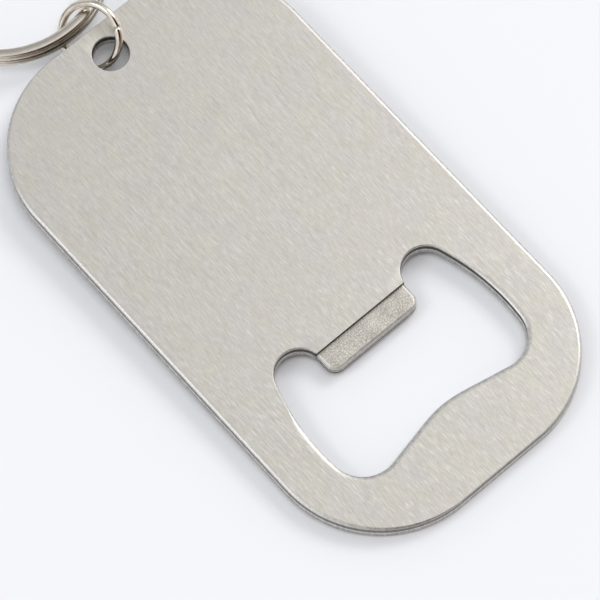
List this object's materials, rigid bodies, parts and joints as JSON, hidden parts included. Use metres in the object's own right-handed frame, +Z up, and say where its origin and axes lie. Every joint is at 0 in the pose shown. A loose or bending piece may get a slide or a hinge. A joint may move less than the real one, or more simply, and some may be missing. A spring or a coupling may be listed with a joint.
{
  "type": "bottle opener",
  "caption": "Flat steel keychain bottle opener with a pressed lifting lip, a jump ring and a two-turn split ring.",
  "frame": {"origin": "on the table, under the middle of the whole object's bounding box, with the opener lying on its back as it rests", "axes": "+Z up from the table, +Y along the plate from the cap opening to the ring hole and the rings, +X across the plate. The plate itself is tipped 1.75 degrees about X, because the jump ring lies under its ring end."},
  "size_m": [0.04, 0.0978, 0.0067],
  "materials": {
    "brushed_stainless": "brushed along the plate, satin",
    "nickel_plated_wire": "bright nickel plate",
    "nickel_plated_coil": "bright nickel plate, lightly handled"
  },
  "bodies": {
    "opener": {"opener_plate": "brushed_stainless"},
    "jump_link": {"jump_ring": "nickel_plated_wire"},
    "key_link": {"split_ring": "nickel_plated_coil"}
  },
  "joints": [
    {"name": "jump_ring_flop", "type": "hinge", "parent": "opener", "child": "jump_link", "pos_m": [-0.00014, 0.02278, 0.00321], "axis": [0, -0.9995, -0.0305], "range_deg": [0, 85]},
    {"name": "split_ring_swing", "type": "hinge", "parent": "jump_link", "child": "key_link", "pos_m": [-0.00188, 0.02463, 0.00343], "axis": [1, 0, 0], "range_deg": [-75, 90]}
  ]
}
